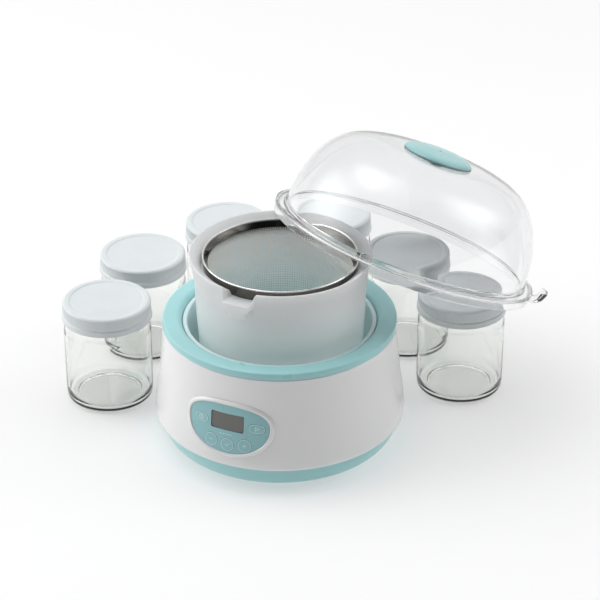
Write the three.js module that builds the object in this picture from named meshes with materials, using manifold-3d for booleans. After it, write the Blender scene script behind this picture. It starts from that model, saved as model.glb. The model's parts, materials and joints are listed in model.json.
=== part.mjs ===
// Yogurt maker set: heated base with control panel, yogurt tub, strainer, clear lid and six jars.
// Units are millimetres, +Z is up, and the set's front faces -Y.
import * as THREE from "three";
import { mergeVertices } from "three/addons/utils/BufferGeometryUtils.js";
import Module from "manifold-3d";

const wasm = await Module();
wasm.setup();

// ---------------------------------------------------------------- driving dimensions

const GAP = 0.3; // clearance left between parts that touch
const WELD = 1e-4; // distance under which two vertices are one
const TURN = Math.PI / 180;

const ROUND = 32; // facets round the base, tub and lid
const SMALL_ROUND = 14; // facets round a jar
const TINY_ROUND = 10; // facets round screws and feet

const FRONT = -24.4 * TURN; // the product's front, turned from -Y
const TUB_TURN = -26.7 * TURN; // the tub's pouring lug, turned from -Y

// The white wall: height and outer radius, bottom to top.
const WALL_OUTLINE = [
  [21.4, 95.1],
  [26, 95.5],
  [40, 93.7],
  [60, 91.1],
  [80, 89.2],
  [94.5, 88.1],
];
const WALL_THICK = 2.6;

const RIM_TOP = 100;
const RIM_R = 87.5;
const RIM_FLAT_R = 77.3; // where the rim's flat top ends
const RIM_THROAT_R = 73.3; // where the slope inside the rim ends
const RIM_LEDGE_Z = 94.7; // ledge that carries the well

const TRAY_Z = 2.5;
const TRAY_FLOOR = 2.2;
const TRAY_R = 92.3;

const WELL_TOP = 97;
const WELL_FLOOR = 33.4; // underside of the well's floor
const WELL_WALL = 1.6;

const PLATE_R = 50;
const PLATE_THICK = 2.5;
const ELEMENT_R = 38;
const ELEMENT_TUBE_R = 3.2;

const TUB_FLOOR = 36;
const TUB_TOP = 153.1;
const TUB_RIM_R = 68.3;
const TUB_SEAT_Z = 141.2; // ledge that carries the strainer
const TUB_SEAT_R = 59.6;
const TUB_X = 0.8; // the tub stands a little off the base's axis

const HOOP_R = 58.4;
const HOOP_TALL = 9;
const HOOP_TOP = 151;
const HOOP_TILT = 0.5 * TURN; // the strainer sits a little high at the front
const HOOP_X = 1.3;

const PANEL_HALF = 32; // half width of the aqua overlay
const PANEL_MID_Z = 55; // height where the panel is widest
const PANEL_UP = 15.5;
const PANEL_DOWN = 22.5;
const BEZEL_WIDTH = 3.2;
const BOARD_Y = -77.5; // front face of the control board, in the panel's frame

const LID_CENTRE = [95.8, 63.1, 126.5];
const LID_LOW_SIDE = 32.6 * TURN; // heading of the lid's low side, from +X
const LID_TILT = 23.9 * TURN;
const LID_R = 104.8;
const LID_SKIRT = 7.2;
const LID_WALL_R = 97.3;
const LID_HEIGHT = 71.6;
const LID_THICK = 2.4;
const KNOB_R = 27.2;

const JAR_R = 34;
const JAR_CAP_R = 35;
const JAR_TALL = 84.3;
const CAP_SKIRT_Z = 69.6;

// Jar axes on the table, from the base's axis.
const JARS = {
  a: [-134.6, 50.6],
  b: [-111, 128.2],
  c: [-44.5, 184],
  d: [39.6, 200],
  e: [101.9, 133.1],
  f: [141.5, 63.8],
};

// ---------------------------------------------------------------- materials

const LOOKS = {
  aqua: { color: 0xa9dadd, roughness: 0.35, metalness: 0 },
  white: { color: 0xf2f2f2, roughness: 0.25, metalness: 0 },
  frosted: { color: 0xdfe8ec, roughness: 0.5, metalness: 0, opacity: 0.75 },
  clear: { color: 0xf2f5f5, roughness: 0.05, metalness: 0, opacity: 0.35 },
  glass: { color: 0xeef3ef, roughness: 0.02, metalness: 0, opacity: 0.35 },
  cap: { color: 0xe2e8e9, roughness: 0.35, metalness: 0 },
  steel: { color: 0x9a958f, roughness: 0.25, metalness: 1 },
  aluminium: { color: 0xb9bcc0, roughness: 0.4, metalness: 1 },
  display: { color: 0x64645f, roughness: 0.15, metalness: 0 },
  board: { color: 0x2f6b45, roughness: 0.5, metalness: 0 },
  rubber: { color: 0x3a3d3f, roughness: 0.8, metalness: 0 },
  black: { color: 0x222222, roughness: 0.4, metalness: 0 },
};

function finish(look) {
  const { opacity = 1, ...rest } = LOOKS[look];
  return new THREE.MeshStandardMaterial({ ...rest, opacity, transparent: opacity < 1 });
}

function part(name, geometry, look) {
  const mesh = new THREE.Mesh(geometry, finish(look));
  mesh.name = name;
  return mesh;
}

// ---------------------------------------------------------------- solids

// A closed geometry as a solid that can be joined and cut.
function solidOf(geometry) {
  const bare = geometry.clone();
  bare.deleteAttribute("normal");
  bare.deleteAttribute("uv");
  const welded = mergeVertices(bare, WELD);
  const corners = welded.index.array;
  const kept = [];
  for (let i = 0; i < corners.length; i += 3) {
    const [a, b, c] = corners.slice(i, i + 3);
    if (a !== b && b !== c && c !== a) kept.push(a, b, c);
  }
  return new wasm.Manifold(
    new wasm.Mesh({
      numProp: 3,
      vertProperties: new Float32Array(welded.attributes.position.array),
      triVerts: new Uint32Array(kept),
    }),
  );
}

function geometryOf(solid) {
  const mesh = solid.getMesh();
  const geometry = new THREE.BufferGeometry();
  geometry.setAttribute("position", new THREE.BufferAttribute(mesh.vertProperties, 3));
  geometry.setIndex(new THREE.BufferAttribute(mesh.triVerts, 1));
  geometry.computeVertexNormals();
  return geometry;
}

function join(...geometries) {
  return geometryOf(geometries.map(solidOf).reduce((whole, piece) => whole.add(piece)));
}

function cut(geometry, ...cutters) {
  return geometryOf(cutters.map(solidOf).reduce((whole, piece) => whole.subtract(piece), solidOf(geometry)));
}

function common(first, second) {
  return geometryOf(solidOf(first).intersect(solidOf(second)));
}

// A solid of revolution about Z. The profile is a list of [radius, height], closed on itself.
function lathe(profile, facets = ROUND) {
  const area = profile.reduce((sum, [r, z], i) => {
    const [nextR, nextZ] = profile[(i + 1) % profile.length];
    return sum + r * nextZ - nextR * z;
  }, 0);
  const points = profile.map(([r, z]) => new THREE.Vector2(r, z));
  if (area < 0) points.reverse();
  points.push(points[0].clone());
  const turned = new THREE.LatheGeometry(points, facets).rotateX(Math.PI / 2);
  return geometryOf(solidOf(turned));
}

function cylinder(radius, low, high, facets = TINY_ROUND) {
  return lathe([[0, low], [radius, low], [radius, high], [0, high]], facets);
}

function ring(inner, outer, low, high, facets = TINY_ROUND) {
  return lathe([[inner, low], [outer, low], [outer, high], [inner, high]], facets);
}

function box(width, depth, height, x, y, z) {
  return new THREE.BoxGeometry(width, depth, height).translate(x, y, z);
}

// An outline in X and Z, extruded along Y between two depths.
function slab(shape, near, far, steps = 8) {
  const flat = new THREE.ExtrudeGeometry(shape, { depth: far - near, bevelEnabled: false, curveSegments: steps });
  return flat.rotateX(Math.PI / 2).translate(0, far, 0);
}

// A band that follows the white wall, between two distances from its outer face.
function wallBand(inside, outside, facets = ROUND) {
  const outer = WALL_OUTLINE.map(([z, r]) => [r + outside, z]);
  const inner = WALL_OUTLINE.map(([z, r]) => [r + inside, z]).reverse();
  return lathe([...outer, ...inner], facets);
}

function arcPoints(centreR, centreZ, radius, from, to, steps) {
  return Array.from({ length: steps + 1 }, (_, i) => {
    const angle = (from + ((to - from) * i) / steps) * TURN;
    return [centreR + radius * Math.cos(angle), centreZ + radius * Math.sin(angle)];
  });
}

// ---------------------------------------------------------------- base shell

const BOSS_RING_R = 75;
const BOSS_R = 3.6;
const BOSS_TOP = 50;
const FOOT_RING_R = 66;

// Four places round the base, a quarter turn apart.
function fourRound(radius, startDegrees) {
  return [0, 1, 2, 3].map((i) => {
    const heading = (startDegrees + i * 90) * TURN;
    return [radius * Math.cos(heading), radius * Math.sin(heading), heading];
  });
}

const BOSS_PLACES = fourRound(BOSS_RING_R, 45);
const FOOT_PLACES = fourRound(FOOT_RING_R, 0);

const GLAND_Z = 34;
const GLAND_NECK_R = 5;

function panelOutline(grow = 0) {
  const points = 36;
  const shape = new THREE.Shape();
  for (let i = 0; i < points; i++) {
    const angle = (i / points) * 2 * Math.PI;
    const up = Math.sin(angle) > 0;
    const power = up ? 2.4 : 2.15;
    const tall = (up ? PANEL_UP : PANEL_DOWN) + grow;
    const x = (PANEL_HALF + grow) * Math.sign(Math.cos(angle)) * Math.abs(Math.cos(angle)) ** (2 / power);
    const z = PANEL_MID_Z + tall * Math.sign(Math.sin(angle)) * Math.abs(Math.sin(angle)) ** (2 / power);
    if (i === 0) shape.moveTo(x, z);
    else shape.lineTo(x, z);
  }
  return shape;
}

function makeHousing() {
  const bosses = BOSS_PLACES.flatMap(([x, y, heading]) => [
    cylinder(BOSS_R, TRAY_Z + TRAY_FLOOR + 2 * GAP, BOSS_TOP).translate(x, y, 0),
    box(15, 3, 16, BOSS_RING_R + 8.7, 0, BOSS_TOP - 9).rotateZ(heading),
  ]);
  const pilots = BOSS_PLACES.map(([x, y]) => cylinder(1.8, 0, 16).translate(x, y, 0));
  const panelHole = slab(panelOutline(BEZEL_WIDTH + GAP - 1.4), -110, -75);
  const glandHole = cylinder(GLAND_NECK_R + GAP, 80, 100).rotateX(-Math.PI / 2).translate(0, 0, GLAND_Z);
  const shell = wallBand(-WALL_THICK, 0);
  return cut(join(shell, ...bosses), ...pilots, panelHole, glandHole);
}

function makeTopRim() {
  return lathe([
    [RIM_THROAT_R, RIM_LEDGE_Z + 1.8],
    [RIM_FLAT_R, RIM_TOP - 0.4],
    [RIM_FLAT_R + 0.6, RIM_TOP],
    [RIM_R - 0.8, RIM_TOP],
    [RIM_R, RIM_TOP - 0.7],
    [RIM_R + 0.6, 94.8],
    [84.9, 94.8],
    [84.9, 88],
    [82.6, 88],
    [82.6, 92.4],
    [71.6, 92.4],
    [71.6, RIM_LEDGE_Z],
    [RIM_THROAT_R, RIM_LEDGE_Z],
  ]);
}

function makeTray() {
  const floorTop = TRAY_Z + TRAY_FLOOR;
  const bowl = lathe([
    [0, TRAY_Z],
    [82, TRAY_Z],
    ...arcPoints(83.4, TRAY_Z + 4.5, 4.5, -75, -20, 3),
    [91.2, 14.5],
    [TRAY_R, 20.5],
    [TRAY_R, 27],
    [TRAY_R - 2.2, 27],
    [TRAY_R - 2.2, 20.5],
    [85, 6.4],
    [82, floorTop],
    [0, floorTop],
  ]);
  const screwHoles = BOSS_PLACES.map(([x, y]) => cylinder(1.9, 0, 10).translate(x, y, 0));
  const footHoles = FOOT_PLACES.map(([x, y]) => cylinder(2.8, 0, 10).translate(x, y, 0));
  const posts = [-1, 1].flatMap((side) =>
    [-1, 1].map((end) => cylinder(2.5, floorTop - 1, 8.7, 8).translate(side * 30, -36 + end * 13, 0)),
  );
  return cut(join(bowl, ...posts), ...screwHoles, ...footHoles);
}

function makeFoot() {
  const padTop = TRAY_Z - GAP;
  return lathe([[0, 0], [7.4, 0], [8, 0.6], [8, padTop], [2.5, padTop], [2.5, 6.6], [0, 6.6]], TINY_ROUND);
}

function makeHousingScrew() {
  const headTop = TRAY_Z - GAP;
  return lathe([[0, 0.9], [2.6, 0.9], [3.2, 1.4], [3.2, headTop], [1.5, headTop], [1.5, 14.5], [0, 15.2]], 8);
}

function makeGland() {
  const body = lathe([
    [3.2, 86],
    [GLAND_NECK_R, 86],
    [GLAND_NECK_R, 96],
    [7.6, 96],
    [7.6, 97.6],
    [6.6, 98.6],
    [3.2, 98.6],
  ], 16);
  return body.rotateX(-Math.PI / 2).translate(0, 0, GLAND_Z);
}

// ---------------------------------------------------------------- heating stack

function makeWell() {
  const floorTop = WELL_FLOOR + WELL_WALL;
  return lathe([
    [0, WELL_FLOOR],
    [64, WELL_FLOOR],
    ...arcPoints(64.5, WELL_FLOOR + 4.5, 4.5, -60, 0, 2),
    [71.1, WELL_TOP - 2],
    [RIM_THROAT_R - GAP, WELL_TOP - 2],
    [RIM_THROAT_R - GAP, WELL_TOP],
    [69.5, WELL_TOP],
    [67.4, floorTop + 3.5],
    [64, floorTop],
    [0, floorTop],
  ]);
}

const PLATE_LOW = WELL_FLOOR - GAP - PLATE_THICK;
const ELEMENT_Z = PLATE_LOW - GAP - ELEMENT_TUBE_R;
const CLAMP_TOP = ELEMENT_Z - ELEMENT_TUBE_R - GAP;

function makePlate() {
  return lathe([[0, PLATE_LOW], [PLATE_R, PLATE_LOW], [PLATE_R, PLATE_LOW + PLATE_THICK], [0, PLATE_LOW + PLATE_THICK]], 32);
}

function makeElement() {
  class OpenRing extends THREE.Curve {
    getPoint(t, target = new THREE.Vector3()) {
      const angle = (20 + 320 * t) * TURN;
      return target.set(ELEMENT_R * Math.cos(angle), ELEMENT_R * Math.sin(angle), ELEMENT_Z);
    }
  }
  const section = new THREE.Shape();
  const sides = 8;
  for (let i = 0; i < sides; i++) {
    const angle = ((i + 0.5) / sides) * 2 * Math.PI;
    const point = [ELEMENT_TUBE_R * Math.cos(angle), ELEMENT_TUBE_R * Math.sin(angle)];
    if (i === 0) section.moveTo(...point);
    else section.lineTo(...point);
  }
  return new THREE.ExtrudeGeometry(section, { steps: 28, extrudePath: new OpenRing() });
}

// ---------------------------------------------------------------- control panel

// Keys: place across and up, half width and half height.
const KEYS = {
  key_timer: [-21.8, 55.3, 6, 3.4],
  key_start: [22.9, 55.3, 6, 3.4],
  key_minus: [-12.4, 40.6, 5.2, 5.2],
  key_set: [0.9, 39.4, 5.2, 5.2],
  key_plus: [14.4, 40.6, 5.2, 5.2],
};
const LCD = { x: 0, z: 57.2, halfWide: 12.9, halfTall: 6.5 };
const OVERLAY_OUT = 0.9;
const KEY_STEM_R = 1.6;
const SWITCH_TALL = 3.5;

// A stadium or circle outline for a key, or a rounded window.
function roundedShape(x, z, halfWide, halfTall, radius) {
  const shape = new THREE.Shape();
  const low = z - halfTall;
  const high = z + halfTall;
  const left = x - halfWide;
  const right = x + halfWide;
  shape.absarc(left + radius, low + radius, radius, Math.PI, 1.5 * Math.PI, false);
  shape.absarc(right - radius, low + radius, radius, 1.5 * Math.PI, 2 * Math.PI, false);
  shape.absarc(right - radius, high - radius, radius, 0, 0.5 * Math.PI, false);
  shape.absarc(left + radius, high - radius, radius, 0.5 * Math.PI, Math.PI, false);
  return shape;
}

function keyShape([x, z, halfWide, halfTall], grow = 0) {
  return roundedShape(x, z, halfWide + grow, halfTall + grow, halfTall + grow - 0.02);
}

function lcdShape(grow = 0) {
  return roundedShape(LCD.x, LCD.z, LCD.halfWide + grow, LCD.halfTall + grow, 1 + grow);
}

const SLAB_NEAR = -110;
const SLAB_FAR = -70;

function makeBezel() {
  const plate = common(slab(panelOutline(BEZEL_WIDTH - 1.4), SLAB_NEAR, SLAB_FAR), wallBand(-3.6, 1.6));
  const lip = common(slab(panelOutline(BEZEL_WIDTH), SLAB_NEAR, SLAB_FAR), wallBand(GAP, 1.6));
  const recess = common(slab(panelOutline(GAP), SLAB_NEAR, SLAB_FAR), wallBand(-0.6, 3));
  const posts = [-1, 1].flatMap((side) =>
    [43, 66].map((z) => cylinder(1.8, 0, 9.5, 8).rotateX(Math.PI / 2).translate(side * 22, BOARD_Y - GAP, z)),
  );
  const keyHoles = Object.values(KEYS).map((key) => slab(keyShape(key, GAP), SLAB_NEAR, SLAB_FAR, 3));
  return cut(join(plate, lip, ...posts), recess, slab(lcdShape(GAP), SLAB_NEAR, SLAB_FAR, 2), ...keyHoles);
}

function makeOverlay() {
  const sheet = common(slab(panelOutline(-0.1), SLAB_NEAR, SLAB_FAR), wallBand(-0.6 + GAP, OVERLAY_OUT));
  const keyHoles = Object.values(KEYS).map((key) => slab(keyShape(key, GAP), SLAB_NEAR, SLAB_FAR, 3));
  return cut(sheet, slab(lcdShape(GAP), SLAB_NEAR, SLAB_FAR, 2), ...keyHoles);
}

function makeLcdWindow() {
  return common(slab(lcdShape(), SLAB_NEAR, SLAB_FAR, 2), wallBand(-1.4, OVERLAY_OUT - 0.4));
}

function makeKey(key) {
  const head = common(slab(keyShape(key), SLAB_NEAR, SLAB_FAR, 3), wallBand(-2.2, OVERLAY_OUT + 0.4));
  const stemBack = BOARD_Y - SWITCH_TALL - 2 * GAP - 0.4;
  const stem = cylinder(KEY_STEM_R, 0, 11, 8).rotateX(Math.PI / 2).translate(key[0], stemBack, key[1]);
  const inside = common(stem, wallBand(-14, -1));
  return join(head, inside);
}

function makeSwitch(key) {
  return box(6, SWITCH_TALL, 6, key[0], BOARD_Y - GAP - SWITCH_TALL / 2, key[1]);
}

function makeControlPanel() {
  const panel = new THREE.Group();
  panel.add(part("control_bezel", makeBezel(), "white"));
  panel.add(part("control_overlay", makeOverlay(), "aqua"));
  panel.add(part("lcd_window", makeLcdWindow(), "display"));
  panel.add(part("lcd_module", box(25, 4, 12.4, LCD.x, -83.6, LCD.z), "black"));
  panel.add(part("control_board", box(52, 1.6, 34, 0, BOARD_Y + 0.8, 52), "board"));
  for (const [name, key] of Object.entries(KEYS)) {
    panel.add(part(name, makeKey(key), "aqua"));
    panel.add(part(name.replace("key", "switch"), makeSwitch(key), "black"));
  }
  return panel;
}

// ---------------------------------------------------------------- base assembly

function makeBase() {
  const base = new THREE.Group();
  base.rotation.z = FRONT;
  base.add(part("base_housing", makeHousing(), "white"));
  base.add(part("top_rim", makeTopRim(), "aqua"));
  base.add(part("base_tray", makeTray(), "aqua"));
  base.add(part("heating_well", makeWell(), "frosted"));
  base.add(part("heater_plate", makePlate(), "aluminium"));
  base.add(part("heating_element", makeElement(), "aluminium"));
  base.add(part("element_clamp", box(96, 12, 1.5, 0, 0, CLAMP_TOP - 0.75), "steel"));
  base.add(part("temperature_sensor", cylinder(4, CLAMP_TOP + GAP, PLATE_LOW - GAP), "steel"));
  const fuse = cylinder(1.9, -8, 8, 8).rotateY(Math.PI / 2);
  base.add(part("thermal_fuse", fuse.translate(0, 18, PLATE_LOW - GAP - 1.9), "steel"));
  base.add(part("power_board", box(72, 40, 1.6, 0, -36, 9.8), "board"));
  base.add(part("power_relay", box(20, 16, 10, -20, -36, 15.9), "black"));
  base.add(part("mains_capacitor", box(18, 8, 10, 14, -44, 15.9), "aqua"));
  base.add(part("cord_gland", makeGland(), "rubber"));
  FOOT_PLACES.forEach(([x, y], i) => {
    const foot = part(`foot_${i + 1}`, makeFoot(), "rubber");
    foot.position.set(x, y, 0);
    base.add(foot);
  });
  BOSS_PLACES.forEach(([x, y], i) => {
    const screw = part(`housing_screw_${i + 1}`, makeHousingScrew(), "steel");
    screw.position.set(x, y, 0);
    base.add(screw);
  });
  base.add(makeControlPanel());
  return base;
}

// ---------------------------------------------------------------- tub and strainer

const LUG_HALF = 12.6;
const LUG_TOP = 143.6;
const LUG_REACH = 71.4;
const LUG_LOW = 129.5;

// The pouring lug's tongue: its side view, cut to a tongue shape seen from the front.
function makeLug() {
  const side = new THREE.Shape();
  side.moveTo(60.6, LUG_TOP);
  side.lineTo(LUG_REACH, LUG_TOP);
  side.lineTo(LUG_REACH - 0.6, LUG_TOP - 3);
  side.lineTo(63.2, LUG_LOW);
  side.lineTo(62.6, LUG_LOW);
  const across = new THREE.ExtrudeGeometry(side, { depth: 2 * LUG_HALF, bevelEnabled: false });
  across.rotateX(Math.PI / 2).translate(0, LUG_HALF, 0).rotateZ(-Math.PI / 2);
  const tongue = new THREE.Shape();
  tongue.moveTo(-LUG_HALF, LUG_TOP + 1);
  tongue.quadraticCurveTo(-LUG_HALF, LUG_LOW + 2, -4, LUG_LOW - 0.5);
  tongue.lineTo(4, LUG_LOW - 0.5);
  tongue.quadraticCurveTo(LUG_HALF, LUG_LOW + 2, LUG_HALF, LUG_TOP + 1);
  return common(across, slab(tongue, -80, -55));
}

function makeTub() {
  const wall = 1.8;
  const body = lathe([
    [0, TUB_FLOOR],
    [54, TUB_FLOOR],
    ...arcPoints(54, TUB_FLOOR + 5, 5, -60, 0, 2),
    [63.2, 100],
    [64.4, 130],
    [TUB_RIM_R - 2, 142],
    [TUB_RIM_R, TUB_TOP - 1.3],
    [TUB_RIM_R - 0.9, TUB_TOP],
    [TUB_SEAT_R + 1.6, TUB_TOP - 4.6],
    [TUB_SEAT_R, TUB_TOP - 5.2],
    [TUB_SEAT_R, TUB_SEAT_Z],
    [56.6, TUB_SEAT_Z],
    [56.6, TUB_SEAT_Z - 1.6],
    [62.3, TUB_SEAT_Z - 6.5],
    [61.4, 100],
    [59 - wall, TUB_FLOOR + 5],
    [54, TUB_FLOOR + wall],
    [0, TUB_FLOOR + wall],
  ]);
  const notch = box(2 * LUG_HALF - 3, 22, 12, 0, -66, LUG_TOP + 6);
  const bore = cylinder(TUB_SEAT_R, TUB_SEAT_Z, TUB_TOP, ROUND);
  return cut(join(body, makeLug()), notch, bore);
}

function placedTub() {
  const tub = part("yogurt_tub", makeTub(), "frosted");
  tub.position.x = TUB_X;
  tub.rotation.z = TUB_TURN;
  return tub;
}

function makeStrainer() {
  const strainer = new THREE.Group();
  strainer.position.set(HOOP_X, 0, HOOP_TOP);
  strainer.rotation.x = -HOOP_TILT;
  const hoop = lathe([
    [57.5, -HOOP_TALL],
    [HOOP_R, -HOOP_TALL],
    [HOOP_R, -0.5],
    [HOOP_R - 0.5, 0],
    [57.1, 0],
    [56.4, -0.6],
    [57.5, -1.2],
  ]);
  const bowl = [
    [56, -1.6],
    [55.6, -12],
    [52, -58],
    [46, -70],
    [34, -77],
    [0, -80],
  ];
  const skin = 1;
  const basket = lathe([...bowl, [0, -80 + skin], ...bowl.slice(0, -1).reverse().map(([r, z]) => [r - skin, z])], 24);
  strainer.add(part("strainer_hoop", hoop, "steel"));
  strainer.add(part("strainer_mesh", basket, "steel"));
  return strainer;
}

// ---------------------------------------------------------------- lid

// The dome's outside, from its foot to its top: a rounded form with a broad shoulder.
function domeOutline(wallR, height, steps) {
  return Array.from({ length: steps + 1 }, (_, i) => {
    const angle = (i / steps) * 0.5 * Math.PI;
    const r = wallR * Math.max(Math.cos(angle), 0) ** 0.4;
    return [i === steps ? 0 : r, height * Math.sin(angle)];
  });
}

function makeDome() {
  const steps = 9;
  const flangeUnder = -1.8;
  const outer = domeOutline(LID_WALL_R, LID_HEIGHT, steps);
  const inner = domeOutline(LID_WALL_R - LID_THICK, LID_HEIGHT - LID_THICK, steps);
  outer[0][1] = 1.5;
  inner[0][1] = flangeUnder;
  const shell = lathe([
    ...outer.reverse(),
    [LID_R, 0],
    [LID_R, -LID_SKIRT],
    [LID_R - 2, -LID_SKIRT],
    [LID_R - 2, flangeUnder],
    ...inner,
  ]);
  return cut(shell, cylinder(4.4, 40, 90));
}

function makeTab() {
  const wide = 20;
  const reach = [
    [LID_R - 1, -5.4],
    [LID_R + 5.5, -5.2],
    [LID_R + 9.6, -2],
    [LID_R + 11.6, 4.2],
    [LID_R + 10, 4.7],
    [LID_R + 8.2, -0.7],
    [LID_R + 5, -3.4],
    [LID_R - 1, -3.6],
  ];
  const shape = new THREE.Shape(reach.map(([r, z]) => new THREE.Vector2(r, z)));
  const flat = new THREE.ExtrudeGeometry(shape, { depth: wide, bevelEnabled: false });
  return flat.rotateX(Math.PI / 2).translate(0, wide / 2, 0).rotateZ(-43 * TURN);
}

function makeLid() {
  const lid = new THREE.Group();
  lid.position.set(...LID_CENTRE);
  lid.rotation.set(0, LID_TILT, LID_LOW_SIDE, "ZYX");
  const knobLow = LID_HEIGHT + 0.5;
  const knob = lathe([
    [0, knobLow + 5.2],
    [14, knobLow + 4.8],
    [23, knobLow + 3.4],
    [KNOB_R - 0.6, knobLow + 2],
    [KNOB_R, knobLow + 0.9],
    [KNOB_R - 0.8, knobLow],
    [4, knobLow],
    [4, LID_HEIGHT - 4.8],
    [1.8, LID_HEIGHT - 4.8],
    [1.8, LID_HEIGHT + 2],
    [0, LID_HEIGHT + 2],
  ], 24);
  const washerTop = LID_HEIGHT - LID_THICK - GAP;
  const headTop = LID_HEIGHT - 4.8 - GAP;
  const screw = lathe([
    [0, headTop - 2.2],
    [4.4, headTop - 2.2],
    [5.5, headTop - 1.4],
    [5.5, headTop],
    [1.5, headTop],
    [1.5, LID_HEIGHT + 1.4],
    [0, LID_HEIGHT + 1.4],
  ], TINY_ROUND);
  lid.add(part("lid_dome", join(makeDome(), makeTab()), "clear"));
  lid.add(part("lid_knob", knob, "aqua"));
  lid.add(part("knob_washer", ring(4.3, 8, headTop + GAP, washerTop, 16), "clear"));
  lid.add(part("knob_screw", screw, "steel"));
  return lid;
}

// ---------------------------------------------------------------- jars

function makeJarGlass() {
  const mouth = JAR_TALL - 2.4;
  return lathe([
    [0, 0],
    ...arcPoints(JAR_R - 8, 8, 8, -90, 0, 3),
    [JAR_R, 62],
    [32.2, 66.5],
    [32.2, mouth],
    [30.2, mouth],
    [30.2, 66],
    [31, 60],
    [31, 12],
    [24.6, 6.5],
    [0, 6.5],
  ], SMALL_ROUND);
}

function makeJarCap() {
  const inner = JAR_TALL - 2;
  return lathe([
    [0, JAR_TALL - 0.7],
    [28.6, JAR_TALL - 0.7],
    [29.4, JAR_TALL],
    [33.4, JAR_TALL],
    [34.2, JAR_TALL - 1],
    [34.3, CAP_SKIRT_Z + 5],
    [JAR_CAP_R, CAP_SKIRT_Z + 3.6],
    [JAR_CAP_R, CAP_SKIRT_Z],
    [33.9, CAP_SKIRT_Z],
    [33.5, CAP_SKIRT_Z + 3.8],
    [33.4, inner],
    [0, inner],
  ], SMALL_ROUND);
}

function makeJars() {
  const jars = new THREE.Group();
  for (const [letter, [x, y]] of Object.entries(JARS)) {
    const jar = new THREE.Group();
    jar.position.set(x, y, 0);
    jar.add(part(`jar_glass_${letter}`, makeJarGlass(), "glass"));
    jar.add(part(`jar_cap_${letter}`, makeJarCap(), "cap"));
    jars.add(jar);
  }
  return jars;
}

// ---------------------------------------------------------------- the set

const yogurtMaker = new THREE.Group();
const pieces = new THREE.Group();
pieces.add(makeBase(), placedTub(), makeStrainer(), makeLid(), makeJars());
yogurtMaker.add(pieces);

// The origin is under the middle of the set's footprint.
const reach = new THREE.Box3().setFromObject(pieces, true);
const middle = reach.getCenter(new THREE.Vector3());
pieces.position.set(-middle.x, -middle.y, -reach.min.z);

export default yogurtMaker;
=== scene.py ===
import json
import math

import bmesh
import bpy
from mathutils import Matrix, Vector


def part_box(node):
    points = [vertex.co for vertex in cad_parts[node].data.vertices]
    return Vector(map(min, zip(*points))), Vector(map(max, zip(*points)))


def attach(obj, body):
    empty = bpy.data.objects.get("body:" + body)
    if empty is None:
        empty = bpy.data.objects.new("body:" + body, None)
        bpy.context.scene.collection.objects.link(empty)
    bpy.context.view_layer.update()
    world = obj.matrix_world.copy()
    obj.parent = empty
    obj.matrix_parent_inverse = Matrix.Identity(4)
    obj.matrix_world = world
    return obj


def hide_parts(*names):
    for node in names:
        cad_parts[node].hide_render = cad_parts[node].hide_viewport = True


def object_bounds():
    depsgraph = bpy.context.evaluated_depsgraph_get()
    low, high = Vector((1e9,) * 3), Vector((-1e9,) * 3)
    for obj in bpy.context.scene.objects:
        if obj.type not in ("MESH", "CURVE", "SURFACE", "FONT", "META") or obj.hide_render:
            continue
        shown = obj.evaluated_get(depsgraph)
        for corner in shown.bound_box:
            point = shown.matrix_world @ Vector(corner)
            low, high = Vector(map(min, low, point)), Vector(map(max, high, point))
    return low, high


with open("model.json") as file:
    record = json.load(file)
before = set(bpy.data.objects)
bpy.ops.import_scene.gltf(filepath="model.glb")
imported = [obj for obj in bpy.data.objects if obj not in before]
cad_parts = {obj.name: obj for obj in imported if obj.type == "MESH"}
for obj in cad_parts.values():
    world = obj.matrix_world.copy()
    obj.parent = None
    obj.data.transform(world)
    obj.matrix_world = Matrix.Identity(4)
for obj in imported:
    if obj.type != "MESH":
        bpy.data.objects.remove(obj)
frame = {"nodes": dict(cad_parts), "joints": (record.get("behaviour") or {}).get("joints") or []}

CAD_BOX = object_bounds()
MM = 0.001
FULL = 2 * math.pi

# ---------------------------------------------------------------- places, from the frame


def middle(node):
    low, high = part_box(node)
    return (low + high) / 2


def low_of(node):
    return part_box(node)[0].z / MM


def top_of(node):
    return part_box(node)[1].z / MM


AXIS = middle("top_rim").to_2d().to_3d()
PRESS = Vector(next(j for j in frame["joints"] if j["name"] == "key_set_press")["axis"])
FRONT = math.atan2(-PRESS.x, PRESS.y)
# how the loose pieces stand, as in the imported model: headings, tilts, and offsets in millimetres
TUB_TURN = math.radians(-26.7)
TUB_SHIFT = 0.8
STRAINER_SHIFT = 1.3
STRAINER_TILT = math.radians(-0.5)
HOOP_TOP = 151
LID_CENTRE = (95.8, 63.1, 126.5)
LID_LOW_SIDE = math.radians(32.6)
LID_TILT = math.radians(23.9)


def turned_by(angle, axis="Z"):
    return Matrix.Rotation(angle, 4, axis)


def shifted(x, y, z):
    return Matrix.Translation(Vector((x, y, z)) * MM)


BASE_PLACE = Matrix.Translation(AXIS) @ turned_by(FRONT)
TUB_PLACE = Matrix.Translation(AXIS) @ shifted(TUB_SHIFT, 0, 0) @ turned_by(TUB_TURN)
STRAINER_PLACE = (
    Matrix.Translation(AXIS) @ shifted(STRAINER_SHIFT, 0, HOOP_TOP) @ turned_by(STRAINER_TILT, "X")
)
LID_PLACE = (
    Matrix.Translation(AXIS) @ shifted(*LID_CENTRE) @ turned_by(LID_LOW_SIDE) @ turned_by(LID_TILT, "Y")
)

# ---------------------------------------------------------------- meshes


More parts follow.
